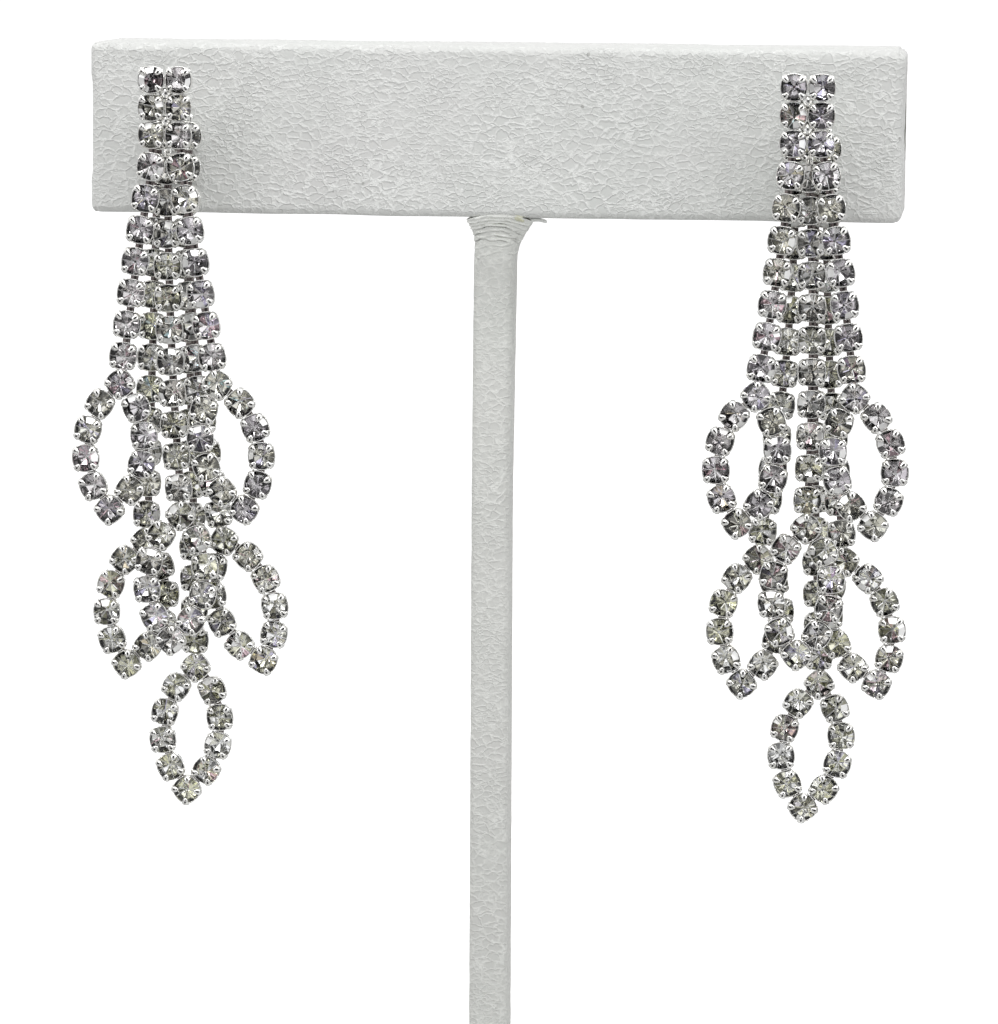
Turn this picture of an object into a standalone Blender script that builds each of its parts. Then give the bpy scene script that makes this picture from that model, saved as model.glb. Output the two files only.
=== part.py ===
# Pair of chandelier earrings of cup chain with clear stones, on a leatherette T-bar stand.
#
# Units are metres, +Z is up and the viewer looks along +Y. The origin lies on the floor under the
# middle of the bar. The earrings hang in front of the bar, on its -Y side. Each one is a block of two by three
# stones soldered to an ear post, then six strands of cup chain that hang in four layers, and a
# pointed loop of ten stones on the end of each strand.

from collections import namedtuple
from math import atan2, cos, pi, radians, sin, sqrt

import bmesh
import bpy
from mathutils import Matrix, Vector

MM = 0.001

# Stand
STAND_HEIGHT = 120 * MM
BAR_WIDTH = 78.8 * MM
BAR_HEIGHT = 16.5 * MM
BAR_DEPTH = 12 * MM
STEM_WIDTH = 3.9 * MM
STEM_DEPTH = 5 * MM
STEM_LEFT_OF_MIDDLE = 0.3 * MM
STEM_CORNER = 0.6 * MM
BASE_WIDTH = 76 * MM
BASE_DEPTH = 44 * MM
BASE_HEIGHT = 8 * MM
COVER_ROUNDING = 1.1 * MM

# Folds of the cover where the stem meets the bar: how far they reach out and down on each side
FOLD_REACH_LEFT = 0.8 * MM
FOLD_REACH_RIGHT = 1.6 * MM
FOLD_DROP = 3.2 * MM

# Stone in its cup
CUP_WIDTH = 2.6 * MM
CUP_DEPTH = 1.8 * MM
CUP_BACK_DIAGONAL = 2.3 * MM
TABLE_WIDTH = 1.5 * MM
CROWN_HEIGHT = 0.45 * MM
FACETS = 8

# Links: the length of each kind that shows between two cups, and the bar that all are cut from
STRAND_LINK = 0.68 * MM
LOOP_LINK = 0.4 * MM
BLOCK_LINK = 0.24 * MM
HANGER_LINK = 0.01 * MM
TAIL_LINK = 0.8 * MM
LINK_WIDTH = 0.7 * MM
LINK_THICKNESS = 0.45 * MM
LINK_LIFT = 0.2 * MM
LINK_BITE = 0.55 * MM

# Stud block and ear post
BLOCK_COLUMNS = 2
BLOCK_ROWS = 3
POST_FROM_END = 8.7 * MM
POST_BELOW_TOP = 5.85 * MM
POST_LENGTH = 11 * MM
POST_WIDTH = 0.8 * MM
POST_PAD = 1.4 * MM
POST_SIDES = 8
HOLE_DEPTH = 6 * MM
HOLE_SIDES = 12

# Pointed loop: two arcs that meet at its tips, each this half angle, with stones between the tips
LOOP_HALF_ARC = radians(50)
LOOP_SIDE_STONES = 4

# Spaces between pieces and between the layers of strands
CLEARANCE = 0.3 * MM
LAYER_GAP = 0.3 * MM
LAYERS = 4

# The strands' chosen places. Layer 0 is the front one. drop is how far the first stone lies below
# the block's lowest row, in hanging lengths. top, end and bow say how far across the first stone,
# the last stone and the middle's bulge lie, in steps from stone to stone. tilt is the loop's lean
# in degrees, to the right where it is positive.
Strand = namedtuple("Strand", "name layer stones drop top end bow tilt")
ROUTES = {
    "left": (
        Strand("outer_l", 0, 7, 1.11, -0.44, -1.34, -0.05, -5.0),
        Strand("outer_r", 0, 7, 1.11, 0.49, 1.48, -0.03, 12.3),
        Strand("centre_front", 1, 11, 1.29, -0.08, 0.28, -0.10, -4.6),
        Strand("inner_l", 2, 13, 0.10, -0.50, -0.88, 0.00, -9.1),
        Strand("inner_r", 2, 13, 0.10, 0.48, 1.44, -0.37, 18.4),
        Strand("centre_back", 3, 17, 0.24, 0.20, 0.55, 0.00, -4.3),
    ),
    "right": (
        Strand("outer_l", 0, 7, 1.11, -0.50, -1.30, 0.05, -7.7),
        Strand("outer_r", 0, 7, 1.11, 0.61, 1.48, 0.05, 9.2),
        Strand("centre_front", 1, 11, 1.24, 0.04, 0.16, 0.12, -3.4),
        Strand("inner_l", 2, 13, 0.26, -0.40, -1.25, 0.25, -6.6),
        Strand("inner_r", 2, 13, 0.26, 0.57, 1.21, -0.19, 15.6),
        Strand("centre_back", 3, 17, 0.26, 0.20, 0.53, -0.10, -6.6),
    ),
}

# Worked out from the sizes above
CUP_FLATS = CUP_WIDTH * cos(pi / FACETS)
STRAND_STEP = CUP_FLATS + STRAND_LINK
LOOP_STEP = CUP_FLATS + LOOP_LINK
BLOCK_STEP = CUP_FLATS + BLOCK_LINK
HANG_STEP = CUP_FLATS + HANGER_LINK + CLEARANCE
LAYER_STEP = CUP_DEPTH + LAYER_GAP
BAR_FRONT = -BAR_DEPTH / 2
POST_SPACING = BAR_WIDTH - 2 * POST_FROM_END
POST_Z = STAND_HEIGHT - POST_BELOW_TOP

# Colours with roughness and metallic value
LEATHERETTE = ((0.80, 0.81, 0.78), 0.55, 0.0)
SILVER_AND_STONE = ((0.62, 0.62, 0.61), 0.15, 1.0)


def remove_old_objects():
    """Empty the scene of what an earlier run or the start-up file left in it."""
    for old in list(bpy.data.objects):
        bpy.data.objects.remove(old)


def new_collection(name):
    """Make a collection that is linked to the scene."""
    collection = bpy.data.collections.new(name)
    bpy.context.scene.collection.children.link(collection)
    return collection


def new_material(name, look):
    """Make a Principled material from a colour, a roughness and a metallic value."""
    colour, roughness, metallic = look
    material = bpy.data.materials.new(name)
    material.use_nodes = True
    shader = material.node_tree.nodes["Principled BSDF"]
    shader.inputs["Base Color"].default_value = (*colour, 1.0)
    shader.inputs["Roughness"].default_value = roughness
    shader.inputs["Metallic"].default_value = metallic
    return material


def add_object(name, bm, collection, look=None, location=(0, 0, 0)):
    """Turn a bmesh into an object with its own material."""
    mesh = bpy.data.meshes.new(name)
    bmesh.ops.recalc_face_normals(bm, faces=bm.faces)
    bm.to_mesh(mesh)
    bm.free()
    thing = bpy.data.objects.new(name, mesh)
    thing.location = location
    if look:
        mesh.materials.append(new_material(name, look))
    collection.objects.link(thing)
    return thing


def add_boolean(thing, operation, tool):
    """Join a tool to an object, or cut it away, and leave the tool as a wire guide."""
    tool.hide_render = True
    tool.display_type = "WIRE"
    modifier = thing.modifiers.new(tool.name, "BOOLEAN")
    modifier.operation = operation
    modifier.object = tool


def rounded_box(name, collection, size, location):
    """A padded block under a cover: a box whose edges are rounded."""
    bm = bmesh.new()
    bmesh.ops.create_cube(bm, size=1, matrix=Matrix.Diagonal((*size, 1)))
    box = add_object(name, bm, collection, LEATHERETTE, location)
    bevel = box.modifiers.new("rounding", "BEVEL")
    bevel.width = COVER_ROUNDING
    bevel.segments = 2
    return box


def ring(corners, radius, depth, turn):
    """Points of a regular ring that faces -Y at a depth in front of the cup's back."""
    angles = [turn + 2 * pi * k / corners for k in range(corners)]
    return [Vector((radius * cos(a), -depth, radius * sin(a))) for a in angles]


def cup_mesh():
    """A stone in its cup: an eight-sided table and crown on a cup that narrows to a square back."""
    bm = bmesh.new()
    octagon_turn = pi / FACETS
    points = ring(FACETS, TABLE_WIDTH / 2, CUP_DEPTH, octagon_turn)
    points += ring(FACETS, CUP_WIDTH / 2, CUP_DEPTH - CROWN_HEIGHT, octagon_turn)
    points += ring(4, CUP_BACK_DIAGONAL / 2, 0, pi / 4)
    verts = [bm.verts.new(point) for point in points]
    bmesh.ops.convex_hull(bm, input=verts)
    bmesh.ops.dissolve_limit(bm, angle_limit=radians(1), verts=bm.verts, edges=bm.edges)
    mesh = bpy.data.meshes.new("cup")
    bm.to_mesh(mesh)
    bm.free()
    return mesh


def turn_to(direction):
    """Rotation about Y that brings -Z onto a direction across and up."""
    across, up = direction
    return Matrix.Rotation(atan2(-across, -up), 4, "Y")


def add_cup(bm, cup, place, direction, quarter=0.0):
    """Copy the cup to a place across and up, turned so that a flat side faces a direction."""
    before = len(bm.verts)
    bm.from_mesh(cup)
    bm.verts.ensure_lookup_table()
    across, up = place
    turn = turn_to(direction) @ Matrix.Rotation(quarter, 4, "Y")
    move = Matrix.Translation((across, 0, up)) @ turn
    bmesh.ops.transform(bm, matrix=move, verts=bm.verts[before:])


def add_link(bm, start, end, start_inset, end_inset, width=None):
    """A flat bar from one place towards another, set in from each by its own inset."""
    run = Vector((end[0] - start[0], end[1] - start[1]))
    length = run.length - start_inset - end_inset
    middle = Vector(start) + run.normalized() * (start_inset + length / 2)
    depth = LINK_LIFT + LINK_THICKNESS / 2
    move = Matrix.Translation((middle.x, -depth, middle.y)) @ turn_to(run)
    size = Matrix.Diagonal((width or LINK_WIDTH, LINK_THICKNESS, length, 1))
    bmesh.ops.create_cube(bm, size=1, matrix=move @ size)


def joined_cups(name, parts, guides, cups, links, location):
    """One soldered solid: cups and the bars that link them."""
    thing = add_object(name, cups, parts, SILVER_AND_STONE, location)
    bars = add_object(name + "_links", links, guides, None, location)
    add_boolean(thing, "UNION", bars)
    return thing


def strand_places(strand, block_bottom):
    """Places of a strand's stones, a step apart, down from the block."""
    places = []
    height = block_bottom - strand.drop * HANG_STEP
    for stone in range(strand.stones):
        share = stone / (strand.stones - 1)
        steps = strand.top + (strand.end - strand.top) * share + strand.bow * 4 * share * (1 - share)
        across = steps * STRAND_STEP
        if places:
            height -= sqrt(STRAND_STEP**2 - (across - places[-1][0])**2)
        places.append((across, height))
    return places


def loop_places(top, tilt):
    """Places of a loop's stones: the top tip, the left side, the bottom tip and the right side."""
    spans = LOOP_SIDE_STONES + 1
    turn = 2 * LOOP_HALF_ARC / spans
    radius = LOOP_STEP / (2 * sin(turn / 2))
    places = []
    for side in (-1, 1):
        for stone in range(spans):
            angle = side * (LOOP_HALF_ARC - stone * turn)
            across = side * radius * (cos(angle) - cos(LOOP_HALF_ARC))
            down = radius * (sin(LOOP_HALF_ARC) + sin(angle))
            places.append((across, down))
    lean = radians(tilt)
    return [
        (top[0] + across * cos(lean) + down * sin(lean), top[1] + across * sin(lean) - down * cos(lean))
        for across, down in places
    ]


def block_places():
    """Places of the block's stones, row by row from its top left."""
    return [
        ((column - (BLOCK_COLUMNS - 1) / 2) * BLOCK_STEP, ((BLOCK_ROWS - 1) / 2 - row) * BLOCK_STEP)
        for row in range(BLOCK_ROWS)
        for column in range(BLOCK_COLUMNS)
    ]


def layer_back(layer):
    """Where the backs of a layer's cups lie. The last layer hangs just clear of the bar."""
    return BAR_FRONT - CLEARANCE - (LAYERS - 1 - layer) * LAYER_STEP


def beyond(place, towards, distance):
    """The place at a distance from one place on the line to another."""
    run = Vector((towards[0] - place[0], towards[1] - place[1]))
    return Vector(place) + run.normalized() * distance


def add_strand(name, parts, guides, cup, places, loop_top, has_tail, location):
    """A strand of cup chain, with the hanger that holds its loop and the tail that holds it."""
    cups = bmesh.new()
    links = bmesh.new()
    bite = CUP_FLATS / 2 - LINK_BITE
    ends = [*places, loop_top]
    for stone, place in enumerate(places):
        before = places[max(stone - 1, 0)]
        after = ends[stone + 1]
        add_cup(cups, cup, place, (after[0] - before[0], after[1] - before[1]))
    for place, after in zip(places, places[1:]):
        add_link(links, place, after, bite, bite)
    add_link(links, places[-1], loop_top, bite, CUP_FLATS / 2 + CLEARANCE)
    if has_tail:
        above = (places[0][0], places[0][1] + CUP_FLATS / 2 + TAIL_LINK)
        add_link(links, places[0], above, bite, 0)
    joined_cups(name, parts, guides, cups, links, location)


def add_loop(name, parts, guides, cup, places, tilt, location):
    """A pointed loop of stones. Its tip stones are turned so that their flats meet both sides."""
    cups = bmesh.new()
    links = bmesh.new()
    bite = CUP_FLATS / 2 - LINK_BITE
    tips = (0, len(places) // 2)
    axis = (sin(radians(tilt)), -cos(radians(tilt)))
    for stone, place in enumerate(places):
        before = places[stone - 1]
        after = places[(stone + 1) % len(places)]
        if stone in tips:
            add_cup(cups, cup, place, axis, pi / 4)
        else:
            add_cup(cups, cup, place, (after[0] - before[0], after[1] - before[1]))
        add_link(links, place, after, bite, bite)
    joined_cups(name, parts, guides, cups, links, location)


def add_block(name, parts, guides, cup, first_stones, location):
    """The stud block with its ear post, and a hanger to the first stone below each column."""
    cups = bmesh.new()
    links = bmesh.new()
    bite = CUP_FLATS / 2 - LINK_BITE
    places = block_places()
    middle_row = BLOCK_ROWS // 2
    for index, place in enumerate(places):
        row, column = divmod(index, BLOCK_COLUMNS)
        add_cup(cups, cup, place, (0, -1))
        if column + 1 < BLOCK_COLUMNS:
            width = POST_PAD if row == middle_row else LINK_WIDTH
            add_link(links, place, places[index + 1], bite, bite, width)
        if row + 1 < BLOCK_ROWS:
            add_link(links, place, places[index + BLOCK_COLUMNS], bite, bite)
    for place, first in zip(places[-BLOCK_COLUMNS:], first_stones):
        add_link(links, place, first, bite, CUP_FLATS / 2 + CLEARANCE)
    block = joined_cups(name, parts, guides, cups, links, location)

    pad_middle = LINK_LIFT + LINK_THICKNESS / 2
    length = POST_LENGTH + pad_middle
    post_place = Matrix.Translation((0, POST_LENGTH - length / 2, 0))
    bm = bmesh.new()
    bmesh.ops.create_cone(
        bm, cap_ends=True, segments=POST_SIDES, radius1=POST_WIDTH / 2, radius2=POST_WIDTH / 2,
        depth=length, matrix=post_place @ Matrix.Rotation(pi / 2, 4, "X"))
    add_boolean(block, "UNION", add_object(name + "_post", bm, guides, None, location))


def add_earring(side, parts, guides, cup, post_x):
    """One earring: its block and, for each route, a strand with its loop."""
    block_bottom = block_places()[-1][1]
    first_stones = []
    for strand in ROUTES[side]:
        stones = strand_places(strand, block_bottom)
        loop_top = tuple(beyond(stones[-1], stones[-2], -HANG_STEP))
        location = (post_x, layer_back(strand.layer), POST_Z)
        is_front = strand.layer == 0
        add_strand(
            f"{side}_strand_{strand.name}", parts, guides, cup, stones, loop_top, not is_front, location)
        loop = loop_places(loop_top, strand.tilt)
        add_loop(f"{side}_loop_{strand.name}", parts, guides, cup, loop, strand.tilt, location)
        if is_front:
            first_stones.append(stones[0])
    add_block(f"{side}_stud_block", parts, guides, cup, first_stones, (post_x, layer_back(0), POST_Z))


def add_base(parts):
    """The plain covered foot."""
    rounded_box("stand_base", parts, (BASE_WIDTH, BASE_DEPTH, BASE_HEIGHT), (0, 0, BASE_HEIGHT / 2))


def add_bar(parts, guides):
    """The covered crossbar, with a blind hole for each ear post."""
    middle = (0, 0, STAND_HEIGHT - BAR_HEIGHT / 2)
    bar = rounded_box("stand_bar", parts, (BAR_WIDTH, BAR_DEPTH, BAR_HEIGHT), middle)
    bm = bmesh.new()
    radius = POST_WIDTH / 2 + CLEARANCE
    for side in (-1, 1):
        hole_place = Matrix.Translation((side * POST_SPACING / 2, BAR_FRONT, POST_Z))
        bmesh.ops.create_cone(
            bm, cap_ends=True, segments=HOLE_SIDES, radius1=radius, radius2=radius,
            depth=2 * HOLE_DEPTH, matrix=hole_place @ Matrix.Rotation(pi / 2, 4, "X"))
    add_boolean(bar, "DIFFERENCE", add_object("post_holes", bm, guides))


def stem_section(height, reach_left, reach_right, reach_depth):
    """Corner points of the stem's outline at a height, with its corners cut off."""
    left = -STEM_LEFT_OF_MIDDLE - STEM_WIDTH / 2 - reach_left
    right = -STEM_LEFT_OF_MIDDLE + STEM_WIDTH / 2 + reach_right
    front = -STEM_DEPTH / 2 - reach_depth
    back = -front
    cut = STEM_CORNER
    outline = (
        (left + cut, front), (right - cut, front), (right, front + cut), (right, back - cut),
        (right - cut, back), (left + cut, back), (left, back - cut), (left, front + cut))
    return [Vector((x, y, height)) for x, y in outline]


def add_stem(parts):
    """The covered stem, lofted up to the folds that spread under the bar."""
    top = STAND_HEIGHT - BAR_HEIGHT - CLEARANCE
    bottom = BASE_HEIGHT + CLEARANCE
    sections = [stem_section(bottom, 0, 0, 0)]
    for share in (0, 0.5, 0.8, 1):
        spread = share**2
        sections.append(stem_section(
            top - FOLD_DROP * (1 - share), FOLD_REACH_LEFT * spread, FOLD_REACH_RIGHT * spread,
            FOLD_REACH_LEFT * spread))
    bm = bmesh.new()
    rings = [[bm.verts.new(point) for point in section] for section in sections]
    for lower, upper in zip(rings, rings[1:]):
        for k in range(len(lower)):
            after = (k + 1) % len(lower)
            bm.faces.new((lower[k], lower[after], upper[after], upper[k]))
    bm.faces.new(rings[0])
    bm.faces.new(rings[-1])
    add_object("stand_stem", bm, parts, LEATHERETTE)


def main():
    remove_old_objects()
    parts = new_collection("chandelier_earrings_on_stand")
    guides = new_collection("guides")
    add_base(parts)
    add_stem(parts)
    add_bar(parts, guides)
    cup = cup_mesh()
    for side, sign in (("left", -1), ("right", 1)):
        add_earring(side, parts, guides, cup, sign * POST_SPACING / 2)


main()
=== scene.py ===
"""Pair of rhinestone chandelier earrings on a T-bar stand: looks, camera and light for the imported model."""

import random
from collections import namedtuple
from math import atan2, cos, exp, pi, radians, sin, sqrt, tan

import bmesh
import bpy
from mathutils import Matrix, Vector, noise


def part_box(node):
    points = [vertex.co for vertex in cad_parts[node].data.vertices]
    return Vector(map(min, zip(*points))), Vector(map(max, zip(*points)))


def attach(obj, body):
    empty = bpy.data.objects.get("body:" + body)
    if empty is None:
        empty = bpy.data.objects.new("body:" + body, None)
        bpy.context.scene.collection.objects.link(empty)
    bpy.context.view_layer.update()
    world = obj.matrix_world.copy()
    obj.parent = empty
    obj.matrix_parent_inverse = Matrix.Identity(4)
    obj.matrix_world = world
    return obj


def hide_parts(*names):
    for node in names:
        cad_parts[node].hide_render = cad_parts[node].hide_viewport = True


MM = 0.001

# The stone, measured out from the middle of its cup's back.
GIRDLE_RADIUS = 1.31 * MM
TABLE_RADIUS = 0.78 * MM
GIRDLE_HEIGHT = 1.35 * MM
TABLE_HEIGHT = 1.80 * MM
CULET_HEIGHT = 0.42 * MM
FACET_LINE = 0.05 * MM
MAIN_FACET_REACH = 0.12 * MM

# How a stone sits and sparkles: its greatest lean and skew, the share of its facet edges that keep a painted
# highlight and the share of its crown facets painted as glints.
STONE_TILT = radians(3.5)
SKEW = 0.24
PAINTED_EDGE_SHARE = 0.42
PAINTED_GLINT_SHARE = 0.09

# Sizes of the cups and stones of each kind of chain, as shares of their templates.
STRAND_SIZE = 0.975
LOOP_SIZE = 0.96
BLOCK_SIZE = 0.93

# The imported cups: the area of a cup's square back, where the front layer's backs lie, the way from
# layer to layer, and the longest way between two cups that a link joins.
CUP_BACK_AREA = 2.645e-6
CUP_BACK_SLACK = 0.1e-6
FRONT_LAYER_Y = -12.6 * MM
LAYER_STEP = 2.1 * MM
LINKED = 3.3 * MM

# Where links begin, out from the middle of a cup, and how far above its first cup a strand that
# starts behind the block is held.
LINK_START = 0.85 * MM
HANGER_START = 0.95 * MM
HIDDEN_HANGER = 2.0 * MM

# Places of the materials in the lists of the stones and of the settings.
CROWN_FACE, BACK_FACE, PAINTED_GLINT_FACE = range(3)
PLATE_FACE, LINK_FACE, HOLE_FACE = range(3)

# A cup from its back up its wall, over its rim and down its seat. Lengths are in millimetres, and
# square is how much the round wall gives way to a square one.
CupStation = namedtuple("CupStation", "height radius square")
CUP_STATIONS = (
    CupStation(0.00, 1.02, 0.9),
    CupStation(0.10, 1.17, 1.0),
    CupStation(0.55, 1.28, 0.9),
    CupStation(1.00, 1.37, 0.8),
    CupStation(1.32, 1.42, 0.7),
    CupStation(1.39, 1.39, 0.65),
    CupStation(1.39, 1.33, 0.6),
    CupStation(1.30, 1.305, 0.5),
    CupStation(0.95, 1.08, 0.2),
    CupStation(0.50, 0.55, 0.0),
)
CUP_SIDES = 40

# A claw from the cup's wall up and in over the stone, and its pinhole, in millimetres.
ClawStation = namedtuple("ClawStation", "reach height width thick")
CLAW_STATIONS = (
    ClawStation(1.22, 0.20, 0.26, 0.09),
    ClawStation(1.36, 0.70, 0.30, 0.09),
    ClawStation(1.47, 1.15, 0.34, 0.11),
    ClawStation(1.48, 1.46, 0.37, 0.15),
    ClawStation(1.35, 1.68, 0.36, 0.17),
    ClawStation(1.14, 1.82, 0.31, 0.16),
    ClawStation(0.93, 1.89, 0.23, 0.12),
    ClawStation(0.78, 1.88, 0.09, 0.05),
)
CLAW_SIDES = 10
PINHOLE_REACH = 1.22
PINHOLE_STRETCH = 1.5
PINHOLE_RINGS = ((0.11, 1.90), (0.08, 1.985))

# Painted reflections on the silvered facets: the share painted dark, where the ones painted white begin, and
# the greys of each kind, which stand in for what each facet mirrors.
# Stones of the front layer are cool, and those further back take a yellow-green tint that is painted shade
# from the front layers.
DARK_SHARE = 0.13
WHITE_FROM = 0.80
DARK_GREYS = (0.20, 0.36)
WHITE_GREYS = (0.95, 1.0)
MAIN_GREYS = (0.50, 0.96)
OTHER_GREYS = (0.55, 1.0)
COOL_TINT = (1.0, 0.965, 1.0)
PAINTED_SHADE_TINT = (1.12, 1.11, 0.90)

# Painted coloured glints of fire, each with the running share of facets up to which its tint is taken.
PAINTED_SPARKS = (
    (0.030, (1.0, 0.74, 0.80)),
    (0.065, (0.88, 0.84, 1.08)),
    (0.069, (0.78, 1.0, 1.08)),
    (0.075, (1.10, 0.98, 0.76)),
)

# A link between cups, in millimetres: a flat bar, a little waisted, that lies above the cups' backs.
LINK_HALF_WIDTH = 0.385
LINK_WAIST = 0.03
LINK_HALF_THICKNESS = 0.20
LINK_HEIGHT = 0.43
LINK_SECTION = (
    (1, 0.6), (0.75, 1), (-0.75, 1), (-1, 0.6), (-1, -0.6), (-0.75, -1), (0.75, -1), (1, -0.6))

# How far the leatherette rounds over the edges of the bar and the base, the turns in degrees at
# which a rounding has its points, the grids of points, and how uneven the padding is.
BAR_EDGE = 0.75 * MM
BASE_EDGE = 1.2 * MM
ROUNDING_ANGLES = (11, 22, 33, 45)
BAR_GRID = 0.8 * MM
BASE_GRID = 1.2 * MM
BAR_WAVE_SCALE = 130
BAR_WAVE_HEIGHT = 0.07 * MM
BASE_WAVE_SCALE = 120
BASE_WAVE_HEIGHT = 0.08 * MM

# Raised places on the bar's front, in millimetres.
Mound = namedtuple("Mound", "across up reach_across reach_up height")
BAR_MOUNDS = (
    Mound(31.9, 118.25, 2.6, 0.35, 0.30),
    Mound(-34.5, 119.2, 3.2, 0.45, 0.14),
)

# The cover's overlap on the bar's back, its turned-in flaps on the ends, and how far the corners of
# the right end are pulled in.
OVERLAP_RISE = 0.18 * MM
OVERLAP_HEIGHT = 5.2 * MM
OVERLAP_SLOPE = 0.35 * MM
FLAP_RISE = 0.12 * MM
FLAP_SLOPE = 0.3 * MM
FLAP_ANGLE = 0.9
UPPER_PULL = 0.45 * MM
LOWER_PULL = 0.2 * MM

# A painted shadow line down each of the bar's ends, in millimetres.
END_SHADOW_Y = 3.4
END_SHADOW_MARGIN = 1.1
END_SHADOW_RADIUS = 0.085
END_SHADOW_TIP_RADIUS = 0.03
END_SHADOW_LIFT = 0.06
END_SHADOW_STEPS = 40

# Edges of the stem's cover at depths below the bar, in millimetres.
StemEdge = namedtuple("StemEdge", "below left right")
STEM_EDGES = (
    StemEdge(-0.4, -2.62, 3.75),
    StemEdge(0.0, -2.68, 3.80),
    StemEdge(0.33, -2.70, 3.70),
    StemEdge(0.68, -2.66, 3.46),
    StemEdge(1.23, -2.48, 3.00),
    StemEdge(1.9, -2.24, 2.58),
    StemEdge(2.5, -2.20, 2.22),
    StemEdge(3.0, -2.20, 1.98),
    StemEdge(3.5, -2.21, 1.80),
    StemEdge(4.2, -2.22, 1.67),
    StemEdge(8.4, -2.28, 1.60),
    StemEdge(28.0, -2.36, 1.38),
    StemEdge(48.0, -2.34, 1.42),
    StemEdge(95.0, -2.28, 1.56),
)

# Folds under the bar: the depth of each in its middle, how it falls to both sides, and its height,
# in millimetres.
StemFold = namedtuple("StemFold", "depth fall_left fall_right height")
STEM_FOLDS = (
    StemFold(0.02, 0.050, 0.080, 0.16),
    StemFold(0.38, 0.048, 0.085, 0.26),
    StemFold(0.68, 0.055, 0.13, 0.20),
    StemFold(1.00, 0.060, 0.21, 0.34),
    StemFold(1.48, 0.080, 0.34, 0.24),
    StemFold(1.98, 0.10, 0.30, 0.24),
    StemFold(2.50, -0.06, 0.28, 0.17),
    StemFold(3.05, 0.05, -0.10, 0.14),
    StemFold(3.7, 0.14, 0.12, 0.12),
    StemFold(4.5, -0.05, 0.16, 0.09),
    StemFold(5.5, 0.10, -0.06, 0.06),
)
FOLDS_MIDDLE = 0.45
LEAST_FOLD = 0.15
BULGE_ABOVE = 0.15
BULGE_WIDTH = 0.11
NOTCH_WIDTH = 0.06

# The rim of the stem's cover, which laps over the bar's lower edge in its middle, in millimetres.
RIM_LAP = 0.36
RIM_MIDDLE = 0.9
RIM_FALL_LEFT = 0.050
RIM_FALL_RIGHT = 0.085
RIM_ENDS = (-2.9, 3.5)
RIM_FADE = 1.6

# The stem's section, its spread under the bar and its rings, in millimetres.
STEM_SIDES = 96
STEM_CORNER = 0.75
STEM_HALF_DEPTH = 2.5
SPREAD_FRONT = 2.9
SPREAD_FRONT_DROP = 4
SPREAD_BACK = 1.9
SPREAD_BACK_DROP = 3
LAP_FORWARD = 0.45
FOLD_RINGS = 86
FOLD_RING_STEP = 0.055
STEM_RING_STEP = 0.6
RIM_THICKNESS = 0.08
RIM_INSET = 0.35
FOOT_SPREAD = 0.5
FOOT_RISE = 0.6

# Painted light and shade kept on the stem's cover: painted light over the fold zone under the bar, painted
# highlights on the pleats, painted shade in the notches between them, and painted shade darkening the lower
# end.
PAINTED_FOLD_ZONE_LIGHT = 0.20
PAINTED_PLEAT_HIGHLIGHT = 0.30
PAINTED_NOTCH_SHADE = 0.40
PAINTED_LOWER_END_SHADE = 0.16
PAINTED_LEATHER_END_LIGHT = 1.2

# The photograph's view.
CAMERA_PLACE = (50.08 * MM, -445 * MM, 136.82 * MM)
CAMERA_YAW = radians(-6.398)
CAMERA_PITCH = radians(8.0)
CAMERA_ROLL = radians(-0.388)
SENSOR_WIDTH = 36
FOCAL_LENGTH = 164.65

# Small bright lamps round the model, by their angle from the front.
Lamp = namedtuple("Lamp", "angle height power")
GLINT_LAMPS = (
    Lamp(-62, 0.35, 0.30),
    Lamp(-38, 0.52, 0.25),
    Lamp(12, 0.62, 0.25),
    Lamp(48, 0.50, 0.25),
    Lamp(66, 0.22, 0.30),
    Lamp(150, 0.45, 0.30),
    Lamp(-150, 0.45, 0.30),
)
LAMP_DISTANCE = 0.75
LAMP_SIZE = 0.10
LIGHT_TARGET = (0, 0, 0.08)

STRANDS = ("outer_l", "outer_r", "centre_front", "inner_l", "inner_r", "centre_back")
FRONT_STRANDS = ("outer_l", "outer_r")
EARRING_SEEDS = (("left", 11), ("right", 47))

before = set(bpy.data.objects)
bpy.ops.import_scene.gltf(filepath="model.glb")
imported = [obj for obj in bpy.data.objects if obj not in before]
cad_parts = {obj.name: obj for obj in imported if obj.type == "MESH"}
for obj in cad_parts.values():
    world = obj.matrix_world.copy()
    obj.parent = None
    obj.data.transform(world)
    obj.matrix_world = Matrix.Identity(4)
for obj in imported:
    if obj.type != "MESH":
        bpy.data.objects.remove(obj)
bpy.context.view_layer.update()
scene = bpy.context.scene


# Shared helpers

def new_piece(name, bm, materials, smooth=True, replaces=()):
    """Makes a mesh object from a bmesh and lets it ride with the model."""
    mesh = bpy.data.meshes.new(name)
    bm.to_mesh(mesh)
    bm.free()
    for material in materials:
        mesh.materials.append(material)
    if smooth:
        mesh.shade_smooth()
    else:
        mesh.shade_flat()
    piece = bpy.data.objects.new(name, mesh)
    scene.collection.objects.link(piece)
    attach(piece, "root")
    if replaces:
        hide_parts(*replaces)
    return piece


def smoothstep(low, high, value):
    """Rises smoothly from 0 at low to 1 at high."""
    share = min(1.0, max(0.0, (value - low) / (high - low)))
    return share * share * (3 - 2 * share)


def wobble(x, y, z):
    """Smooth noise between about -1 and 1."""
    return noise.noise(Vector((x, y, z)))


def skin(bm, rings, flip=False):
    """Faces between rings of vertices, with a cap on each end. flip turns their fronts round."""
    made = []
    for ring, beyond in zip(rings, rings[1:]):
        for k in range(len(ring)):
            after = (k + 1) % len(ring)
            if flip:
                corners = (ring[k], ring[after], beyond[after], beyond[k])
            else:
                corners = (ring[after], ring[k], beyond[k], beyond[after])
            made.append(bm.faces.new(corners))
    made.append(bm.faces.new(rings[0][::-1] if flip else rings[0]))
    made.append(bm.faces.new(rings[-1] if flip else rings[-1][::-1]))
    return made


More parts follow.
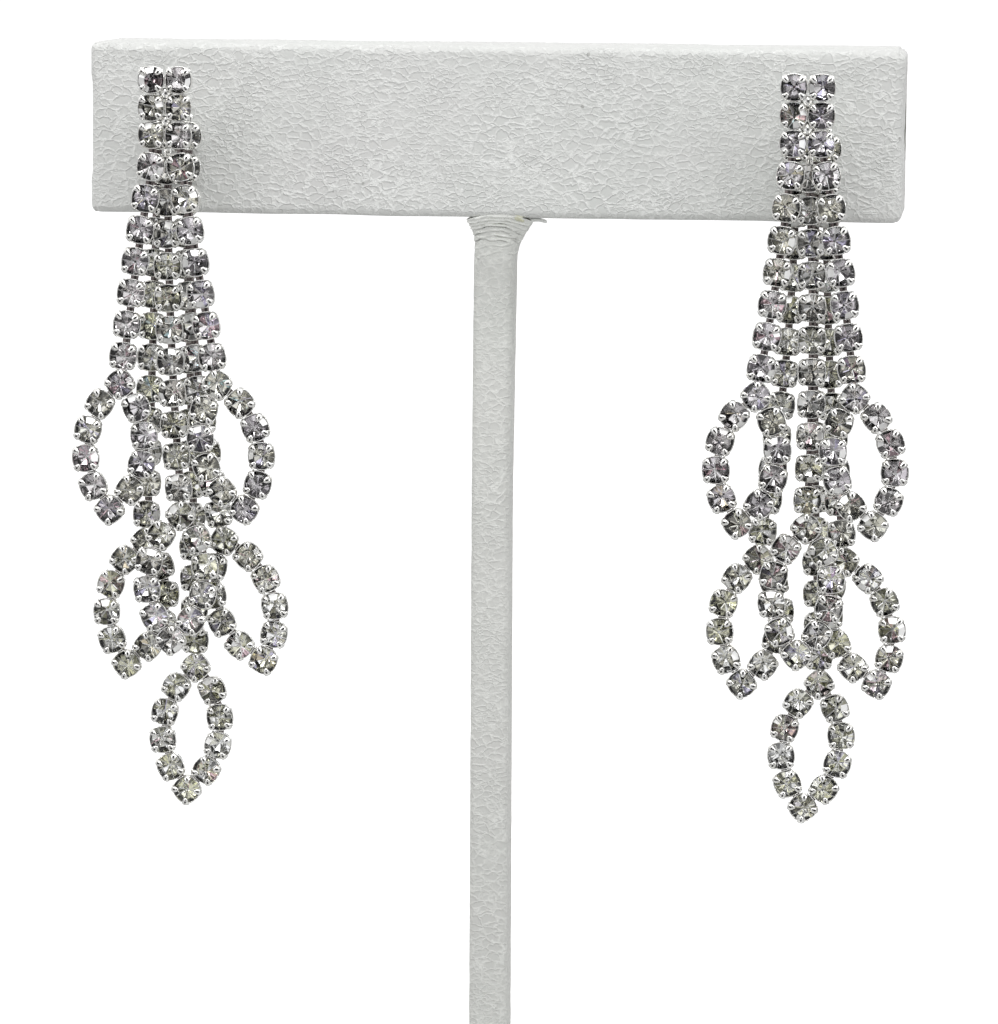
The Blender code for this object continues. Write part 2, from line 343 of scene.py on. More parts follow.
def add_tube(bm, path, radii, flatten=1.0):
    """A closed tube of eight sides along a path of points, thin at its ends."""
    rings = []
    for number, (spot, radius) in enumerate(zip(path, radii)):
        run = (path[min(number + 1, len(path) - 1)] - path[max(number - 1, 0)]).normalized()
        over = Vector((0, 1, 0)).cross(run).normalized()
        away = run.cross(over)
        rings.append([
            bm.verts.new(spot + radius * (over * cos(pi * k / 4) + flatten * away * sin(pi * k / 4)))
            for k in range(8)
        ])
    skin(bm, rings)


# Materials

class Graph:
    """The nodes of one material or world, with short ways to add and link them."""

    def __init__(self, tree):
        self.nodes = tree.nodes
        self.links = tree.links

    def feed(self, socket, value):
        """Links an input to an output, or sets it to a fixed value."""
        if isinstance(value, bpy.types.NodeSocket):
            self.links.new(value, socket)
        else:
            socket.default_value = value

    def place(self, kind="Object"):
        """Where a point lies in its own object, or which way a ray of the world runs."""
        return self.nodes.new("ShaderNodeTexCoord").outputs[kind]

    def mottle(self, place, scale, detail=2, output="Fac"):
        """Cloudy noise."""
        node = self.nodes.new("ShaderNodeTexNoise")
        node.inputs["Scale"].default_value = scale
        node.inputs["Detail"].default_value = detail
        self.links.new(place, node.inputs["Vector"])
        return node.outputs[output]

    def cells(self, place, scale, feature="F1"):
        """The distance from the middles or the edges of scattered cells."""
        node = self.nodes.new("ShaderNodeTexVoronoi")
        node.feature = feature
        node.inputs["Scale"].default_value = scale
        self.links.new(place, node.inputs["Vector"])
        return node.outputs["Distance"]

    def ramp(self, value, stops):
        """A colour ramp with its stops as (place, grey or colour)."""
        node = self.nodes.new("ShaderNodeValToRGB")
        elements = node.color_ramp.elements
        while len(elements) < len(stops):
            elements.new(0.5)
        for element, (position, tone) in zip(elements, stops):
            element.position = position
            element.color = (tone, tone, tone, 1) if isinstance(tone, float) else (*tone, 1)
        self.links.new(value, node.inputs["Fac"])
        return node.outputs["Color"]

    def calculate(self, operation, first, second=0.5):
        """One operation on a number, or on two where it takes two."""
        node = self.nodes.new("ShaderNodeMath")
        node.operation = operation
        self.feed(node.inputs[0], first)
        self.feed(node.inputs[1], second)
        return node.outputs[0]

    def moved(self, place, drift, reach):
        """A place moved by a colour times a reach along each axis."""
        node = self.nodes.new("ShaderNodeVectorMath")
        node.operation = "MULTIPLY_ADD"
        node.inputs[1].default_value = reach
        self.links.new(drift, node.inputs[0])
        self.links.new(place, node.inputs[2])
        return node.outputs["Vector"]

    def along(self, direction, axis):
        """How far a direction points along an axis, either way."""
        node = self.nodes.new("ShaderNodeVectorMath")
        node.operation = "DOT_PRODUCT"
        node.inputs[1].default_value = axis
        self.links.new(direction, node.inputs[0])
        return self.calculate("ABSOLUTE", node.outputs["Value"])

    def mix(self, share, first, second, blend="MIX"):
        """Two colours mixed, or blended as named."""
        node = self.nodes.new("ShaderNodeMix")
        node.data_type = "RGBA"
        node.blend_type = blend
        for number, value in ((0, share), (6, first), (7, second)):
            self.feed(node.inputs[number], value)
        return node.outputs[2]

    def map_range(self, value, from_min, from_max, to_min, to_max=1.0):
        """A number carried over from one range to another."""
        node = self.nodes.new("ShaderNodeMapRange")
        self.feed(node.inputs["Value"], value)
        self.feed(node.inputs["From Min"], from_min)
        self.feed(node.inputs["From Max"], from_max)
        self.feed(node.inputs["To Min"], to_min)
        self.feed(node.inputs["To Max"], to_max)
        return node.outputs["Result"]

    def bump(self, height, strength, distance, normal=None):
        """Relief from a height, on top of an earlier relief if there is one."""
        node = self.nodes.new("ShaderNodeBump")
        node.inputs["Strength"].default_value = strength
        node.inputs["Distance"].default_value = distance
        self.links.new(height, node.inputs["Height"])
        if normal is not None:
            self.links.new(normal, node.inputs["Normal"])
        return node.outputs["Normal"]

    def kept_colour(self, layer):
        """The colour that a mesh keeps in a layer."""
        node = self.nodes.new("ShaderNodeVertexColor")
        node.layer_name = layer
        return node.outputs["Color"]


def new_material(name):
    """A material with its Principled shader and its graph."""
    material = bpy.data.materials.new(name)
    material.use_nodes = True
    return material, material.node_tree.nodes["Principled BSDF"], Graph(material.node_tree)


def leatherette(name, relief, ridge_highlight_share, painted_shading=False):
    """Off-white pebbled leatherette: stretched smooth cells parted by fine raised wrinkles, their ridges
    painted paler as a highlight.
    """
    material, shader, graph = new_material(name)
    place = graph.place()
    drifted = graph.moved(place, graph.mottle(place, 700, output="Color"), (0.0010, 0.0010, 0.0007))
    quiver = graph.mottle(place, 2200, detail=1, output="Color")
    stretch = graph.nodes.new("ShaderNodeMapping")
    stretch.inputs["Scale"].default_value = (800, 800, 1350)
    graph.links.new(graph.moved(drifted, quiver, (0.00055, 0.00055, 0.0004)), stretch.inputs["Vector"])

    nets = []
    for scale, width in ((1.0, 0.17), (1.38, 0.18)):
        distance = graph.cells(stretch.outputs["Vector"], scale, "DISTANCE_TO_EDGE")
        nets.append(graph.ramp(distance, ((0.0, 1.0), (width * 0.45, 0.45), (width, 0.0))))
    patches = graph.ramp(graph.mottle(place, 260), ((0.42, 0.0), (0.60, 1.0)))
    wrinkles = graph.mix(patches, *nets)
    pressed = graph.ramp(graph.mottle(place, 110), ((0.34, 0.62), (0.60, 1.0)))
    raised = graph.calculate("MULTIPLY", wrinkles, pressed)
    coarse = graph.bump(raised, relief, 0.16 * MM)
    grain = graph.mottle(place, 2600, detail=4)
    graph.links.new(graph.bump(grain, 0.3, 0.06 * MM, coarse), shader.inputs["Normal"])

    clouds = graph.mottle(place, 70, detail=3)
    colour = graph.ramp(clouds, ((0.3, (0.690, 0.706, 0.684)), (0.7, (0.728, 0.728, 0.716))))
    # Painted highlight: the raised wrinkles are made paler, as if lit from above.
    painted_ridge_highlight = (0.93, 0.94, 0.92, 1)
    colour = graph.mix(graph.calculate("MULTIPLY", raised, ridge_highlight_share), colour, painted_ridge_highlight)
    specks = graph.ramp(graph.cells(place, 260), ((0.035, 0.55), (0.055, 0.0)))
    speck_colour = (0.30, 0.30, 0.28, 1)
    colour = graph.mix(specks, colour, speck_colour)
    # Multiplies in the painted light and shade kept on the mesh: lighter pleats and leather end, darker
    # notches and lower stem.
    if painted_shading:
        colour = graph.mix(1.0, colour, graph.kept_colour("painted_light_shade"), "MULTIPLY")
    graph.links.new(colour, shader.inputs["Base Color"])

    sheen = graph.ramp(wrinkles, ((0.0, 0.52), (1.0, 0.44)))
    graph.links.new(sheen, shader.inputs["Roughness"])
    shader.inputs["Specular IOR Level"].default_value = 0.4
    return material


def mottled(name, low, high, rough, spread, scale, detail=2):
    """A material whose colour and polish vary a little from place to place, and its shader."""
    material, shader, graph = new_material(name)
    clouds = graph.mottle(graph.place(), scale, detail)
    graph.links.new(graph.ramp(clouds, ((0.35, low), (0.65, high))), shader.inputs["Base Color"])
    graph.links.new(graph.ramp(clouds, ((0.3, rough), (0.7, rough + spread))), shader.inputs["Roughness"])
    return material, shader


def metal(name, low, high, rough):
    """Plated metal with a faint haze."""
    material, shader = mottled(name, low, high, rough, 0.12, 900, detail=3)
    shader.inputs["Metallic"].default_value = 1
    return material


def plain(name, low, high, scale, rough):
    """A small matt or glossy finish with a fine mottle."""
    material, _ = mottled(name, low, high, rough, 0.15, scale)
    return material


def crystal():
    """The clear upper part of a stone."""
    material, shader, _ = new_material("clear_crystal")
    shader.inputs["Base Color"].default_value = (0.97, 0.975, 0.98, 1)
    shader.inputs["Roughness"].default_value = 0
    shader.inputs["IOR"].default_value = 1.56
    shader.inputs["Transmission Weight"].default_value = 1
    shader.inputs["Specular IOR Level"].default_value = 0.9
    return material


def foil():
    """The silvered back of a stone: a real mirror whose facets carry painted reflections and painted coloured
    glints in the tone kept on each face.
    """
    material, shader, graph = new_material("foiled_back")
    graph.links.new(graph.kept_colour("tone"), shader.inputs["Base Color"])
    shader.inputs["Metallic"].default_value = 1
    shader.inputs["Roughness"].default_value = 0.05
    return material


BAR_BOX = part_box("stand_bar")
LEATHERETTE = leatherette("leatherette", 0.66, 0.84)
# The stretched cover takes the painted light and shade kept on its mesh.
STRETCHED = leatherette("leatherette_stretched", 0.60, 0.90, painted_shading=True)
# Painted shadow for the dimples on the claws.
PAINTED_PINHOLE_SHADE = metal("pinhole_shadow", (0.02, 0.02, 0.02), (0.06, 0.055, 0.055), 0.5)
# A dark finish for thin tubes that are painted shadow lines in a crevice and on the bar's ends.
PAINTED_SHADOW_LINE = plain("painted_gap_shadow", (0.13, 0.13, 0.11), (0.22, 0.22, 0.19), 1500, 0.7)
GLUE = plain("dried_glue", (0.60, 0.60, 0.45), (0.70, 0.70, 0.58), 1400, 0.35)
SILVER = metal("silver_plate", (0.82, 0.81, 0.78), (0.95, 0.95, 0.94), 0.05)
LINK_METAL = metal("link_metal", (0.09, 0.075, 0.075), (0.24, 0.21, 0.205), 0.12)
CRYSTAL = crystal()
FOIL = foil()
# A near-white finish for painted highlights on facet edges and painted glints on crown facets.
PAINTED_GLINT = metal("painted_glint_facets", (0.93, 0.93, 0.93), (0.99, 0.99, 0.98), 0.4)


# Covered stand

def axis_stops(half, edge, step):
    """Places along half a side and its mirror, closer together where the edge rounds over."""
    flat = half - edge
    count = max(2, round(2 * flat / step))
    inner = [-flat + 2 * flat * k / count for k in range(count + 1)]
    curve = [edge * tan(radians(angle)) for angle in ROUNDING_ANGLES]
    return [-flat - c for c in reversed(curve)] + inner + [flat + c for c in curve]


def puffed_block(low, high, edge, step, relief):
    """A block with rounded edges as a fine grid, moved along its normals by a relief function."""
    middle = (low + high) / 2
    half = (high - low) / 2
    stops = [axis_stops(half[axis], edge, step) for axis in range(3)]
    flat = Vector(h - edge for h in half)
    bm = bmesh.new()
    made = {}

    def vertex(key):
        if key not in made:
            point = Vector(stops[axis][key[axis]] for axis in range(3))
            core = Vector(min(f, max(-f, p)) for p, f in zip(point, flat))
            normal = (point - core).normalized()
            spot = core + normal * edge
            made[key] = bm.verts.new(middle + spot + normal * relief(middle + spot, normal))
        return made[key]

    for axis in range(3):
        u, v = (axis + 1) % 3, (axis + 2) % 3
        for end in (0, len(stops[axis]) - 1):
            for i in range(len(stops[u]) - 1):
                for j in range(len(stops[v]) - 1):
                    corners = []
                    for di, dj in ((0, 0), (1, 0), (1, 1), (0, 1)):
                        key = [0, 0, 0]
                        key[axis], key[u], key[v] = end, i + di, j + dj
                        corners.append(vertex(tuple(key)))
                    bm.faces.new(corners if end else corners[::-1])
    return bm


def soft_waves(point, scale, height):
    """A slow unevenness of the padding under a cover."""
    return height * noise.noise(point * scale) + 0.4 * height * noise.noise(point * scale * 2.7)


def mound_rise(point, mound):
    """How far a mound raises a point of the bar's front."""
    across = (point.x - mound.across * MM) / (mound.reach_across * MM)
    up = (point.z - mound.up * MM) / (mound.reach_up * MM)
    return mound.height * MM * exp(-across * across - up * up)


def bar_relief(point, normal):
    """How far the bar's cover stands off its block: waves, mounds, overlap, flaps and corners."""
    low, high = BAR_BOX
    rise = soft_waves(point, BAR_WAVE_SCALE, BAR_WAVE_HEIGHT)
    if normal.y < -0.5:
        rise += sum(mound_rise(point, mound) for mound in BAR_MOUNDS)
    if normal.y > 0.5:
        above_overlap = point.z - (low.z + OVERLAP_HEIGHT)
        rise += OVERLAP_RISE * smoothstep(-OVERLAP_SLOPE, OVERLAP_SLOPE, above_overlap)
    if abs(normal.x) > 0.5:
        beyond_flap = abs(point.z - (low.z + high.z) / 2) - abs(point.y) * FLAP_ANGLE
        rise += FLAP_RISE * smoothstep(-FLAP_SLOPE, FLAP_SLOPE, beyond_flap)
    if normal.x > 0.3:
        pull = UPPER_PULL if normal.z > 0 else LOWER_PULL
        rise -= pull * normal.x * abs(normal.z)
    return rise


def base_relief(point, normal):
    """The unevenness of the base's padding. Its underside stays flat."""
    return 0 if normal.z < -0.5 else soft_waves(point, BASE_WAVE_SCALE, BASE_WAVE_HEIGHT)


def add_bar():
    """The bar's cover."""
    low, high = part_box("stand_bar")
    bm = puffed_block(low, high, BAR_EDGE, BAR_GRID, bar_relief)
    new_piece("bar_cover", bm, [LEATHERETTE], replaces=["stand_bar"])


def add_bar_end_shadow(name, x, out, phase):
    """A thin dark tube down one end of the bar, painted shade for that end face."""
    low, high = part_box("stand_bar")
    length = high.z - low.z - 2 * END_SHADOW_MARGIN * MM
    path, radii = [], []
    for k in range(END_SHADOW_STEPS + 1):
        z = low.z + END_SHADOW_MARGIN * MM + length * k / END_SHADOW_STEPS
        waver = 0.12 * wobble(phase, k * 0.14, 0)
        path.append(Vector((x + out * END_SHADOW_LIFT * MM, (END_SHADOW_Y + waver) * MM, z)))
        radii.append((END_SHADOW_RADIUS + 0.03 * wobble(phase, k * 0.4, 5)) * MM)
    radii[0] = radii[-1] = END_SHADOW_TIP_RADIUS * MM
    bm = bmesh.new()
    add_tube(bm, path, radii)
    new_piece(name, bm, [PAINTED_SHADOW_LINE])


def add_base():
    """The base's cover."""
    low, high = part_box("stand_base")
    bm = puffed_block(low, high, BASE_EDGE, BASE_GRID, base_relief)
    new_piece("base_cover", bm, [LEATHERETTE], replaces=["stand_base"])


# Stem's cover, worked out in millimetres

def stem_edges(below):
    """The left and right edge of the stem's cover at a depth below the bar."""
    for upper, lower in zip(STEM_EDGES, STEM_EDGES[1:]):
        if below <= lower.below:
            break
    share = min(1.0, max(0.0, (below - upper.below) / (lower.below - upper.below)))
    left = upper.left + (lower.left - upper.left) * share
    right = upper.right + (lower.right - upper.right) * share
    return left, right


def stem_rim(across):
    """How deep under the bar's lower edge the cover begins: it laps over that edge in the middle."""
    reach = across - RIM_MIDDLE
    fall = RIM_FALL_LEFT if reach < 0 else RIM_FALL_RIGHT
    return -RIM_LAP + fall * reach * reach + 0.04 * wobble(across * 1.7, 0, 4)


def stem_folds(across, below, facing):
    """Pleats of the cover under the bar, arched over the stem and fading downwards."""
    lift = 0.0
    reach = across - FOLDS_MIDDLE
    for number, fold in enumerate(STEM_FOLDS):
        sway = (0.10 + 0.05 * fold.depth) * wobble(across * 0.9, number * 5.0, facing)
        sway += 0.07 * wobble(across * 2.6, number * 5.0, facing + 3)
        fall = fold.fall_left if reach < 0 else fold.fall_right
        from_crease = below - fold.depth - fall * reach * reach - sway
        along = 0.75 + 1.1 * wobble(across * 0.8, number * 3.0 + 7, facing)
        bulge = exp(-((from_crease + BULGE_ABOVE) / BULGE_WIDTH)**2)
        notch = exp(-(from_crease / NOTCH_WIDTH)**2)
        lift += fold.height * max(LEAST_FOLD, along) * (bulge - notch)
    return lift


def painted_stem_shading(below, pleat):
    """The painted light and shade of the stem's cover at a depth: lighter under the bar, a painted highlight
    on a pleat, painted shade in a notch and towards the lower end.
    """
    tone = 1 + PAINTED_FOLD_ZONE_LIGHT * (1 - smoothstep(0.8, 6, below))
    tone += PAINTED_PLEAT_HIGHLIGHT * smoothstep(0.02, 0.15, pleat)
    tone *= 1 - PAINTED_LOWER_END_SHADE * smoothstep(20, 80, below)
    return tone * (1 - PAINTED_NOTCH_SHADE * smoothstep(0.05, 0.24, -pleat))


def stem_ring(below, inset, stand_off):
    """One ring of the stem's cover: its points, with a depth of their own below the bar, and painted light
    and shade.
    """
    early = 1 - smoothstep(-RIM_LAP, RIM_FADE, below)
    left = stem_edges(below + (stem_rim(RIM_ENDS[0]) + RIM_LAP) * early)[0]
    right = stem_edges(below + (stem_rim(RIM_ENDS[1]) + RIM_LAP) * early)[1]
    centre, half_width = (left + right) / 2, (right - left) / 2
    front = SPREAD_FRONT * max(0, 1 - max(0, below) / SPREAD_FRONT_DROP)**2.2
    front += LAP_FORWARD * sqrt(max(0, -below) / RIM_LAP)
    back = SPREAD_BACK * max(0, 1 - max(0, below) / SPREAD_BACK_DROP)**2
    points = []
    for k in range(STEM_SIDES):
        angle = 2 * pi * (k + 0.5) / STEM_SIDES
        x, y = cos(angle), sin(angle)
        grow = 1 / max(abs(x) / half_width, abs(y) / STEM_HALF_DEPTH)
        x, y = x * grow, y * grow
        core_x = min(half_width - STEM_CORNER, max(STEM_CORNER - half_width, x))
        core_y = min(STEM_HALF_DEPTH - STEM_CORNER, max(STEM_CORNER - STEM_HALF_DEPTH, y))
        normal = Vector((x - core_x, y - core_y)).normalized()
        x, y = core_x + normal.x * STEM_CORNER, core_y + normal.y * STEM_CORNER
        depth = below + (stem_rim(x + centre) + RIM_LAP) * early
        pleat = stem_folds(x + centre, depth, 5 * (normal.y > 0.5)) if below > -0.3 else 0
        lift = stand_off - inset + pleat * (1 - 0.75 * normal.x * normal.x)
        lift += 0.03 * noise.noise(Vector((x, y, below)) * 0.5)
        x += normal.x * lift
        y += normal.y * lift + (back if y > 0 else front) * y / STEM_HALF_DEPTH
        points.append((x + centre, y, depth, painted_stem_shading(below, pleat)))
    return points


def add_stem():
    """The stem's cover, a rounded tube that spreads in folds against the bar."""
    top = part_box("stand_bar")[0].z / MM
    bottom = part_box("stand_base")[1].z / MM
    belows = [-RIM_LAP + FOLD_RING_STEP * k for k in range(FOLD_RINGS)]
    while belows[-1] < top - bottom + 0.2:
        belows.append(belows[-1] + STEM_RING_STEP)
    bm = bmesh.new()
    # This layer holds painted light and shade: a lighter fold zone, painted highlights on pleats, painted
    # shade in notches and towards the lower end.
    painted_light_shade = bm.verts.layers.float_color.new("painted_light_shade")
    rings = []
    for number, below in enumerate([belows[0] + RIM_THICKNESS] + belows):
        foot = FOOT_SPREAD * exp(-max(0, top - bottom - below) / FOOT_RISE)
        ring = stem_ring(below, 0 if number else RIM_INSET, foot)
        rings.append([bm.verts.new(Vector((x, y, top - depth)) * MM) for x, y, depth, _ in ring])
        for vertex, (_, _, _, tone) in zip(rings[-1], ring):
            vertex[painted_light_shade] = (tone, tone, tone * 0.985, 1)
    for upper, lower in zip(rings, rings[1:]):
        for k in range(STEM_SIDES):
            after = (k + 1) % STEM_SIDES
            bm.faces.new((upper[k], lower[k], lower[after], upper[after]))
    bm.faces.new(rings[0])
    bm.faces.new(rings[-1][::-1])
    new_piece("stem_cover", bm, [STRETCHED], replaces=["stand_stem"])


def add_rim_shadow(top):
    """A painted shadow: a thin dark tube in the crevice along the rim of the stem's cover, which follows the
    bar's rounded edge.
    """
    start, width, count = -2.5, 6.2, 60
    bar_front, under_bar, rounding = -6.0, -5.0, 1.1
    path, radii = [], []
    for k in range(count + 1):
        across = start + width * k / count
        depth = stem_rim(across) - 0.02
        over = max(0.0, -depth)
        if over:
            front = bar_front + rounding - sqrt(max(0, rounding**2 - (rounding - over)**2))
        else:
            front = under_bar + 0.4 * max(0, depth)
        path.append(Vector((across, front - 0.02, top - depth)) * MM)
        radius = max(0.012, 0.055 + 0.05 * wobble(across * 1.9, 2, 0))
        radii.append(radius * (0.15 if k in (0, count) else 1) * MM)
    bm = bmesh.new()
    add_tube(bm, path, radii)
    new_piece("stem_rim_shadow", bm, [PAINTED_SHADOW_LINE])


def add_leather_end(top):
    """The cut end of leather that sticks out beside the rim, painted lighter to lift it out of the shade
    under the bar.
    """
    start, length, steps = 3.2, 2.0, 14
    path, radii = [], []
    for k in range(steps + 1):
        share = k / steps
        sag = 0.14 + 0.26 * share + 0.05 * sin(7 * share)
        path.append(Vector((start + length * share, -4.6 + 0.15 * sin(4 * share), top - sag)) * MM)
        radii.append((0.21 - 0.04 * share) * (0.45 if k in (0, steps) else 1) * MM)
    bm = bmesh.new()
    painted_light_shade = bm.verts.layers.float_color.new("painted_light_shade")
    add_tube(bm, path, radii, flatten=1.5)
    # Painted light: the end is kept lighter than the cover, against the shade it sits in.
    for vertex in bm.verts:
        vertex[painted_light_shade] = (PAINTED_LEATHER_END_LIGHT, PAINTED_LEATHER_END_LIGHT, PAINTED_LEATHER_END_LIGHT, 1)
    new_piece("stem_leather_end", bm, [STRETCHED])


def add_glue_bead(top):
    """A bead of dried glue on the rim."""
    bm = bmesh.new()
    bmesh.ops.create_uvsphere(bm, u_segments=28, v_segments=18, radius=1)
    centre = Vector((2.52, -5.58, top + 0.04))
    for vertex in bm.verts:
        lump = 1 + 0.22 * noise.noise(vertex.co * 1.6 + Vector((3, 1, 0)))
        x, y, z = vertex.co * lump
        spot = Vector((0.58 * x, 0.24 * y, 0.36 * z - 0.22 * x - 0.12 * x * x))
        vertex.co = (spot + centre) * MM
    new_piece("stem_glue_bead", bm, [GLUE])


# Stones in their settings

def flat_groups(mesh, facing):
    """Corner points and area of each flat patch of a mesh that faces a direction."""
    mesh.calc_loop_triangles()
    keys = [tuple(round(c * 1e7) for c in v.co) for v in mesh.vertices]
    owner = {}

    def root(key):
        while owner.setdefault(key, key) != key:
            key = owner[key]
        return key

    chosen = []
    for triangle in mesh.loop_triangles:
        if triangle.normal.dot(facing) > 0.999:
            corners = [keys[v] for v in triangle.vertices]
            chosen.append((corners, triangle.area))
            for corner in corners[1:]:
                owner[root(corner)] = root(corners[0])
    groups = {}
    for corners, area in chosen:
        group = groups.setdefault(root(corners[0]), [set(), 0.0])
        group[0].update(corners)
        group[1] += area
    return [([Vector(c) * 1e-7 for c in sorted(points)], area) for points, area in groups.values()]


def stones_of(node):
    """The middle of each cup's back in a node, and the angle of its first prong, from the top down."""
    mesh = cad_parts[node].data
    stones = []
    for points, area in flat_groups(mesh, Vector((0, 1, 0))):
        if len(points) == 4 and abs(area - CUP_BACK_AREA) < CUP_BACK_SLACK:
            middle = sum(points, Vector()) / 4
            arm = points[0] - middle
            stones.append((middle, atan2(arm.z, arm.x)))
    return sorted(stones, key=lambda stone: -stone[0].z)


def stone_template():
    """A chaton: table and eight crown facets, and eight pavilion facets turned by half a step."""
    def ring(radius, height, half):
        return [
            Vector((radius * cos(pi * (k + half) / 4), radius * sin(pi * (k + half) / 4), height))
            for k in range(8)
        ]

    inset = GIRDLE_RADIUS * (1 - cos(pi / 8))
    crown = (TABLE_HEIGHT - GIRDLE_HEIGHT) / (GIRDLE_RADIUS - TABLE_RADIUS * cos(pi / 8))
    pavilion = (GIRDLE_HEIGHT - CULET_HEIGHT) / GIRDLE_RADIUS
    points = ring(TABLE_RADIUS, TABLE_HEIGHT, 0)
    points += ring(GIRDLE_RADIUS, GIRDLE_HEIGHT + crown * inset, 0)
    points += ring(GIRDLE_RADIUS, GIRDLE_HEIGHT, 0.5)
    points += ring(GIRDLE_RADIUS, GIRDLE_HEIGHT, 0)
    points += ring(GIRDLE_RADIUS, GIRDLE_HEIGHT - pavilion * inset, 0.5)
    points.append(Vector((0, 0, CULET_HEIGHT)))
    bm = bmesh.new()
    bmesh.ops.convex_hull(bm, input=[bm.verts.new(point) for point in points])
    bmesh.ops.recalc_face_normals(bm, faces=bm.faces)
    for face in bm.faces:
        face.material_index = BACK_FACE if face.normal.z < -0.1 else CROWN_FACE
    bmesh.ops.dissolve_limit(bm, angle_limit=radians(1), verts=bm.verts, edges=bm.edges)
    # The pavilion's edges are bevelled into thin faces that carry a painted highlight.
    cut = [
        edge for edge in bm.edges
        if all(face.material_index == BACK_FACE for face in edge.link_faces)
    ]
    made = bmesh.ops.bevel(bm, geom=cut, offset=FACET_LINE, segments=1, affect="EDGES")["faces"]
    for face in made:
        face.material_index = PAINTED_GLINT_FACE
    return bm


def cup_template():
    """A thin squarish cup that narrows to a square back, with its stone's seat inside the rim."""
    bm = bmesh.new()
    rings = []
    for station in CUP_STATIONS:
        ring = []
        for k in range(CUP_SIDES):
            angle = 2 * pi * k / CUP_SIDES
            reach = station.radius * (1 + 0.10 * station.square * cos(2 * (angle - pi / 4))**2)
            ring.append(bm.verts.new(Vector((reach * cos(angle), reach * sin(angle), station.height)) * MM))
        rings.append(ring)
    skin(bm, rings, flip=True)
    for number in range(4):
        turn = pi / 4 + number * pi / 2
        outward = Vector((cos(turn), sin(turn), 0))
        across = Vector((-sin(turn), cos(turn), 0))
        add_claw(bm, outward, across)
        add_pinhole(bm, outward, across)
    return bm


def add_claw(bm, outward, across):
    """A rounded claw that rises at a corner of the cup and bends in over the stone."""
    rings = []
    for number, station in enumerate(CLAW_STATIONS):
        before = CLAW_STATIONS[max(0, number - 1)]
        after = CLAW_STATIONS[min(len(CLAW_STATIONS) - 1, number + 1)]
        run = Vector((after.reach - before.reach, after.height - before.height)).normalized()
        out = outward * run.y + Vector((0, 0, -run.x))
        spot = outward * station.reach + Vector((0, 0, station.height))
        ring = []
        for k in range(CLAW_SIDES):
            angle = 2 * pi * k / CLAW_SIDES
            rim = spot + across * station.width * cos(angle) + out * station.thick * sin(angle)
            ring.append(bm.verts.new(rim * MM))
        rings.append(ring)
    skin(bm, rings)


def add_pinhole(bm, outward, across):
    """The dimple on the top of a claw, its faces painted near-black as shade."""
    rings = []
    for radius, height in PINHOLE_RINGS:
        ring = []
        for k in range(8):
            angle = pi * k / 4
            spot = outward * (PINHOLE_REACH + PINHOLE_STRETCH * radius * cos(angle))
            spot += across * radius * sin(angle) + Vector((0, 0, height))
            ring.append(bm.verts.new(spot * MM))
        rings.append(ring)
    lower, upper = rings
    dark = [bm.faces.new(upper)]
    for k in range(8):
        after = (k + 1) % 8
        dark.append(bm.faces.new((lower[k], lower[after], upper[after], upper[k])))
    for face in dark:
        face.material_index = HOLE_FACE


def copy_template(bm, template, matrix):
    """Adds a copy of a template and returns its faces."""
    before = len(bm.faces)
    made = [bm.verts.new(matrix @ v.co) for v in template.verts]
    for face in template.faces:
        copy = bm.faces.new([made[v.index] for v in face.verts])
        copy.material_index = face.material_index
    bm.faces.ensure_lookup_table()
    return bm.faces[before:]


def add_link(bm, start, end, material=LINK_FACE):
    """A flat bar between two cups, a little waisted and darker than the cups."""
    run = (end - start).normalized()
    across = run.cross(Vector((0, 1, 0)))
    outward = Vector((0, -1, 0))
    length = (end - start).length
    rings = []
    for share in (0, 0.3, 0.5, 0.7, 1):
        width = (LINK_HALF_WIDTH - LINK_WAIST * sin(pi * share)) * MM
        middle = start + run * length * share + outward * LINK_HEIGHT * MM
        rings.append([
            bm.verts.new(middle + across * width * a + outward * LINK_HALF_THICKNESS * MM * b)
            for a, b in LINK_SECTION
        ])
    for face in skin(bm, rings, flip=True):
        face.material_index = material


def painted_facet_reflection(chance, painted_shade_share, is_main):
    """The painted reflection of one silvered facet: mostly greys, some painted dark or white, few painted
    coloured glints.
    """
    pick = chance.random()
    if pick < DARK_SHARE:
        greys = DARK_GREYS
    elif pick > WHITE_FROM:
        greys = WHITE_GREYS
    else:
        greys = MAIN_GREYS if is_main else OTHER_GREYS
    grey = chance.uniform(*greys)
    tint = Vector(COOL_TINT).lerp(Vector(PAINTED_SHADE_TINT), painted_shade_share)
    spark = chance.random()
    for share, spark_tint in PAINTED_SPARKS:
        if spark < share:
            tint = Vector(spark_tint)
            break
    return grey * tint


def add_solder(bm, places):
    """Small beads of solder in the gaps between each four stones of the block."""
    for upper, lower in zip(places[0::2], places[2::2]):
        across = (places[0].x + places[1].x) / 2
        spot = Vector((across, upper.y - 0.75 * MM, (upper.z + lower.z) / 2))
        made = bmesh.ops.create_icosphere(bm, subdivisions=2, radius=0.62 * MM)["verts"]
        for vertex in made:
            lump = 1 + 0.35 * noise.noise(vertex.co / MM * 2.2 + spot / MM)
            vertex.co = Vector((vertex.co.x * lump, vertex.co.y * 0.7, vertex.co.z * lump)) + spot


def neighbours(places):
    """Pairs of cups in a node that a link joins."""
    return [
        (a, b) for i, a in enumerate(places) for b in places[i + 1:] if (a - b).length < LINKED
    ]


def shortened(start, end, by):
    """A line's ends, each moved in by a length."""
    run = (end - start).normalized() * by
    return start + run, end - run


